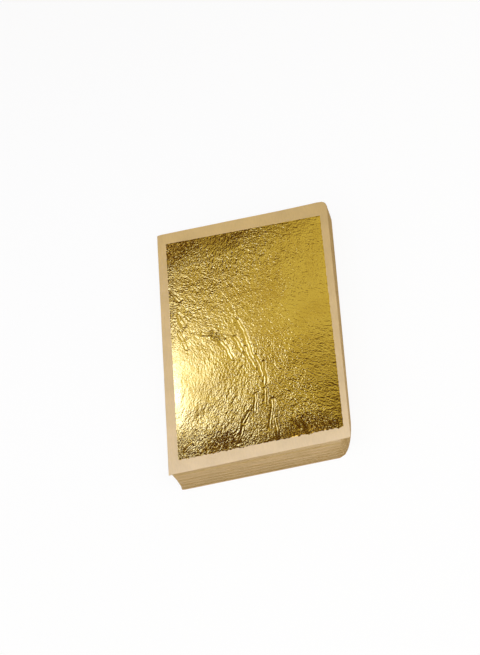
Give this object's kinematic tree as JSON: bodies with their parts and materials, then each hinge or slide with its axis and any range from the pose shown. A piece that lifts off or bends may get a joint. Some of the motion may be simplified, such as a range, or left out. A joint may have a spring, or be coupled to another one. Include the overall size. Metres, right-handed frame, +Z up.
{
  "type": "gold leaf booklet",
  "caption": "Thick pad of tan papers, each carrying a crinkled gold leaf, glued along one long edge so that the pages turn and the top leaf slides off.",
  "frame": {"origin": "centre of the pad's footprint, on the underside of the back card", "axes": "+X from the glued spine to the open fore edge, +Y from the near end to the far end along the long side, +Z up through the pages"},
  "size_m": [0.089, 0.142, 0.0156],
  "materials": {
    "paper": "matte",
    "gold_leaf": "polished",
    "card": "matte",
    "padding_glue": "satin"
  },
  "bodies": {
    "back": {"back_card": "card"},
    "section_01": {"section_01_papers": "paper", "section_01_gold_leaves": "gold_leaf", "section_01_spine_glue": "padding_glue"},
    "section_02": {"section_02_papers": "paper", "section_02_gold_leaves": "gold_leaf", "section_02_spine_glue": "padding_glue"},
    "section_03": {"section_03_papers": "paper", "section_03_gold_leaves": "gold_leaf", "section_03_spine_glue": "padding_glue"},
    "section_04": {"section_04_papers": "paper", "section_04_gold_leaves": "gold_leaf", "section_04_spine_glue": "padding_glue"},
    "section_05": {"section_05_papers": "paper", "section_05_gold_leaves": "gold_leaf", "section_05_spine_glue": "padding_glue"},
    "section_06": {"section_06_papers": "paper", "section_06_gold_leaves": "gold_leaf", "section_06_spine_glue": "padding_glue"},
    "section_07": {"section_07_papers": "paper", "section_07_gold_leaves": "gold_leaf", "section_07_spine_glue": "padding_glue"},
    "section_08": {"section_08_papers": "paper", "section_08_gold_leaves": "gold_leaf", "section_08_spine_glue": "padding_glue"},
    "section_09": {"section_09_papers": "paper", "section_09_gold_leaves": "gold_leaf", "section_09_spine_glue": "padding_glue"},
    "section_10": {"section_10_papers": "paper", "section_10_gold_leaves": "gold_leaf", "section_10_spine_glue": "padding_glue"},
    "section_11": {"section_11_papers": "paper", "section_11_gold_leaves": "gold_leaf", "section_11_spine_glue": "padding_glue"},
    "section_12": {"section_12_papers": "paper", "section_12_gold_leaves": "gold_leaf", "section_12_spine_glue": "padding_glue"},
    "section_13": {"section_13_papers": "paper", "section_13_gold_leaves": "gold_leaf", "section_13_spine_glue": "padding_glue"},
    "section_14": {"section_14_papers": "paper", "section_14_gold_leaves": "gold_leaf", "section_14_spine_glue": "padding_glue"},
    "second_page": {"second_page": "paper", "second_gold_leaf": "gold_leaf"},
    "top_page": {"top_page": "paper"},
    "top_gold_leaf": {"top_gold_leaf": "gold_leaf"}
  },
  "joints": [
    {"name": "section_01_turn", "type": "hinge", "parent": "back", "child": "section_01", "pos_m": [-0.0424, 0, 0.0006], "axis": [0, -1, 0], "range_deg": [0, 11]},
    {"name": "section_02_turn", "type": "hinge", "parent": "section_01", "child": "section_02", "pos_m": [-0.04241, 0, 0.00165], "axis": [0, -1, 0], "range_deg": [0, 11]},
    {"name": "section_03_turn", "type": "hinge", "parent": "section_02", "child": "section_03", "pos_m": [-0.04244, 0, 0.0027], "axis": [0, -1, 0], "range_deg": [0, 11]},
    {"name": "section_04_turn", "type": "hinge", "parent": "section_03", "child": "section_04", "pos_m": [-0.04249, 0, 0.00375], "axis": [0, -1, 0], "range_deg": [0, 11]},
    {"name": "section_05_turn", "type": "hinge", "parent": "section_04", "child": "section_05", "pos_m": [-0.04256, 0, 0.0048], "axis": [0, -1, 0], "range_deg": [0, 11]},
    {"name": "section_06_turn", "type": "hinge", "parent": "section_05", "child": "section_06", "pos_m": [-0.04264, 0, 0.00585], "axis": [0, -1, 0], "range_deg": [0, 11]},
    {"name": "section_07_turn", "type": "hinge", "parent": "section_06", "child": "section_07", "pos_m": [-0.04274, 0, 0.0069], "axis": [0, -1, 0], "range_deg": [0, 11]},
    {"name": "section_08_turn", "type": "hinge", "parent": "section_07", "child": "section_08", "pos_m": [-0.04286, 0, 0.00795], "axis": [0, -1, 0], "range_deg": [0, 11]},
    {"name": "section_09_turn", "type": "hinge", "parent": "section_08", "child": "section_09", "pos_m": [-0.043, 0, 0.009], "axis": [0, -1, 0], "range_deg": [0, 11]},
    {"name": "section_10_turn", "type": "hinge", "parent": "section_09", "child": "section_10", "pos_m": [-0.04316, 0, 0.01005], "axis": [0, -1, 0], "range_deg": [0, 11]},
    {"name": "section_11_turn", "type": "hinge", "parent": "section_10", "child": "section_11", "pos_m": [-0.04333, 0, 0.0111], "axis": [0, -1, 0], "range_deg": [0, 11]},
    {"name": "section_12_turn", "type": "hinge", "parent": "section_11", "child": "section_12", "pos_m": [-0.04353, 0, 0.01215], "axis": [0, -1, 0], "range_deg": [0, 11]},
    {"name": "section_13_turn", "type": "hinge", "parent": "section_12", "child": "section_13", "pos_m": [-0.04374, 0, 0.0132], "axis": [0, -1, 0], "range_deg": [0, 11]},
    {"name": "section_14_turn", "type": "hinge", "parent": "section_13", "child": "section_14", "pos_m": [-0.04397, 0, 0.01425], "axis": [0, -1, 0], "range_deg": [0, 11]},
    {"name": "second_page_turn", "type": "hinge", "parent": "section_14", "child": "second_page", "pos_m": [-0.04421, 0, 0.0153], "axis": [0, -1, 0], "range_deg": [0, 14]},
    {"name": "top_page_turn", "type": "hinge", "parent": "second_page", "child": "top_page", "pos_m": [-0.0445, 0, 0.01545], "axis": [0, 1, 0], "range_deg": [-188, 0]},
    {"name": "top_gold_leaf_slide", "type": "slide", "parent": "top_page", "child": "top_gold_leaf", "axis": [1, 0, 0], "range_m": [0, 0.085]}
  ]
}
